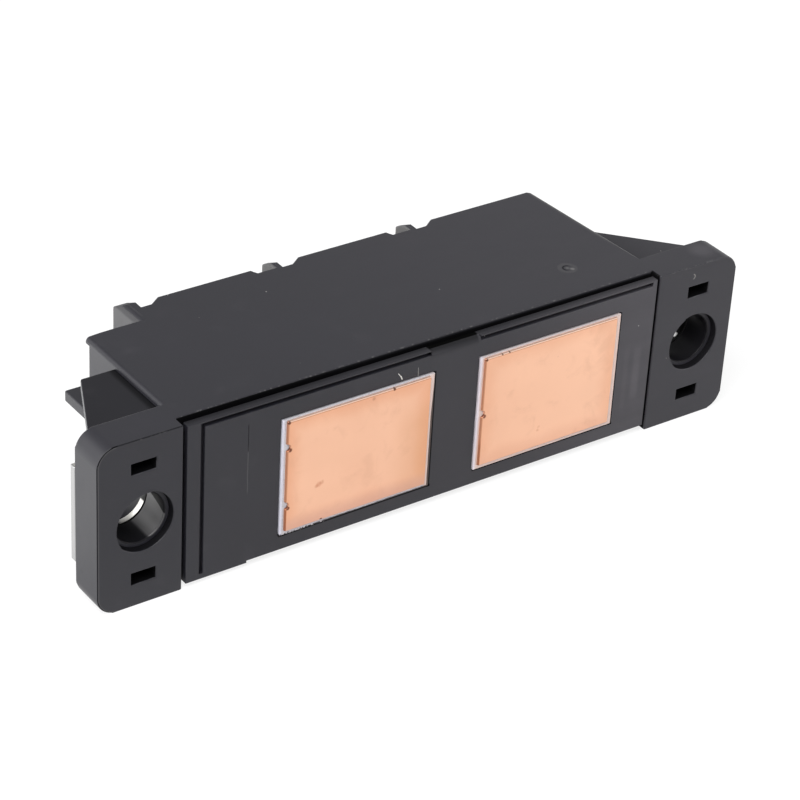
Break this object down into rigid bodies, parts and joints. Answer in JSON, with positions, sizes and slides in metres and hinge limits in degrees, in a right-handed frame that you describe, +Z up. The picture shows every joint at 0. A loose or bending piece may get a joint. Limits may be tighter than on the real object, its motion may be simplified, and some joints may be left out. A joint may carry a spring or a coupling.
{
  "type": "power diode module",
  "caption": "Isolated power module: a black moulded housing with flanges, exposed ceramic tiles with copper pads on the heat-sink face and screw terminals opposite.",
  "frame": {"origin": "on the resting side, under the middle of the bounding box", "axes": "+X along the length towards the end next to terminal 3, +Y from the heat-sink face to the terminals, +Z up across the width; the module lies on its long side"},
  "size_m": [0.092, 0.036, 0.0224],
  "materials": {
    "housing_plastic": "moulded, fine satin",
    "frame_plastic": "moulded, fine satin",
    "ceramic": "fired alumina, matt",
    "copper": "bonded copper, matt with stains",
    "plated_steel": "zinc plated",
    "nickel": "nickel plated, satin",
    "silicon": "polished",
    "gel": "clear soft gel"
  },
  "bodies": {
    "root": {"housing": "housing_plastic", "base_frame": "frame_plastic", "ceramic_tile_left": "ceramic", "ceramic_tile_right": "ceramic", "base_copper_left": "copper", "base_copper_right": "copper", "mounting_plate_left": "plated_steel", "mounting_plate_right": "plated_steel", "copper_track_left": "copper", "copper_track_right": "copper", "diode_chip_left": "silicon", "diode_chip_right": "silicon", "joining_clip": "copper", "terminal_1": "nickel", "terminal_2": "nickel", "terminal_3": "nickel", "terminal_nuts": "plated_steel", "terminal_screws": "plated_steel", "spring_washers": "plated_steel", "flat_washers": "plated_steel", "silicone_gel": "gel"}
  },
  "joints": []
}
